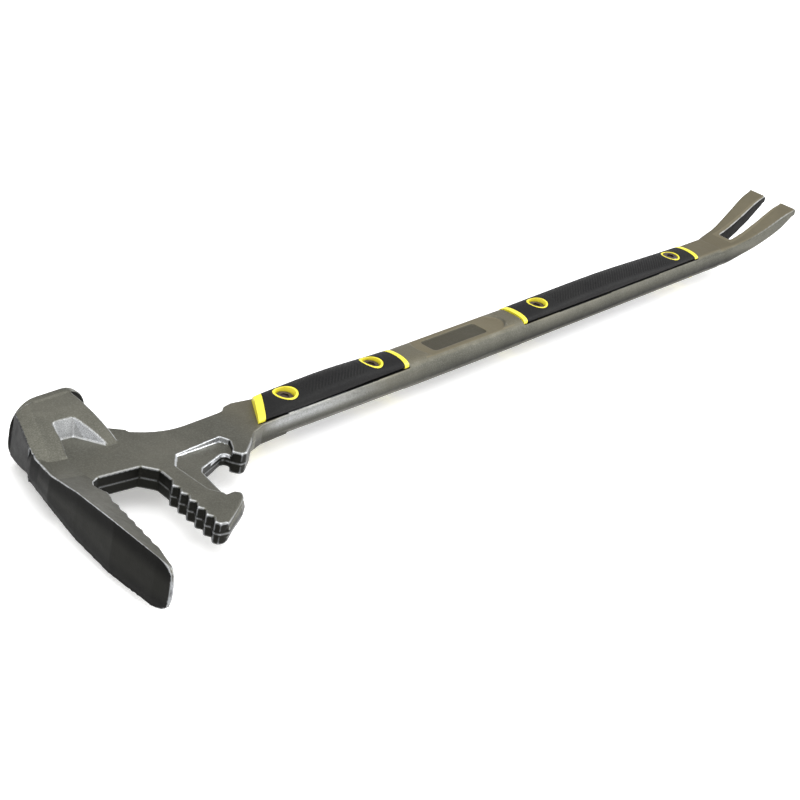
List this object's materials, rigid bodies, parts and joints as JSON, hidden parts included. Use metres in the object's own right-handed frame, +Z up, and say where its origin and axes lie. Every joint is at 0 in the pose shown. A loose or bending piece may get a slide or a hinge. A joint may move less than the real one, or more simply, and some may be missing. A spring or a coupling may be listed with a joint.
{
  "type": "halligan bar",
  "caption": "One-piece forged entry and demolition bar with striking face, adze blade, toothed board jaw, wrench jaw, forked nail claw and bolted grips",
  "frame": {"origin": "middle of the tool's footprint on the surface it stands on, level with the lowest edge of the striking face", "axes": "+X along the shank from the striking head to the forked claw, +Y from the board jaw towards the striking face, +Z up, the way the claw bends"},
  "size_m": [0.7616, 0.173, 0.049],
  "materials": {
    "forged_steel": "grey-olive satin coat over forged steel, worn bright along the working edges",
    "yellow_nylon": "moulded satin yellow",
    "black_rubber": "matt, finely textured",
    "fastener_steel": "dulled brown-grey steel",
    "washer_steel": "plain steel"
  },
  "bodies": {
    "root": {"claw_grip_bottom_carrier": "yellow_nylon", "claw_grip_bottom_pad": "black_rubber", "claw_grip_front_screw": "fastener_steel", "claw_grip_front_sleeve_nut": "fastener_steel", "claw_grip_front_washer": "washer_steel", "claw_grip_rear_screw": "fastener_steel", "claw_grip_rear_sleeve_nut": "fastener_steel", "claw_grip_rear_washer": "washer_steel", "claw_grip_top_carrier": "yellow_nylon", "claw_grip_top_pad": "black_rubber", "forged_bar": "forged_steel", "head_grip_bottom_carrier": "yellow_nylon", "head_grip_bottom_pad": "black_rubber", "head_grip_front_screw": "fastener_steel", "head_grip_front_sleeve_nut": "fastener_steel", "head_grip_front_washer": "washer_steel", "head_grip_rear_screw": "fastener_steel", "head_grip_rear_sleeve_nut": "fastener_steel", "head_grip_rear_washer": "washer_steel", "head_grip_top_carrier": "yellow_nylon", "head_grip_top_pad": "black_rubber"}
  },
  "joints": []
}
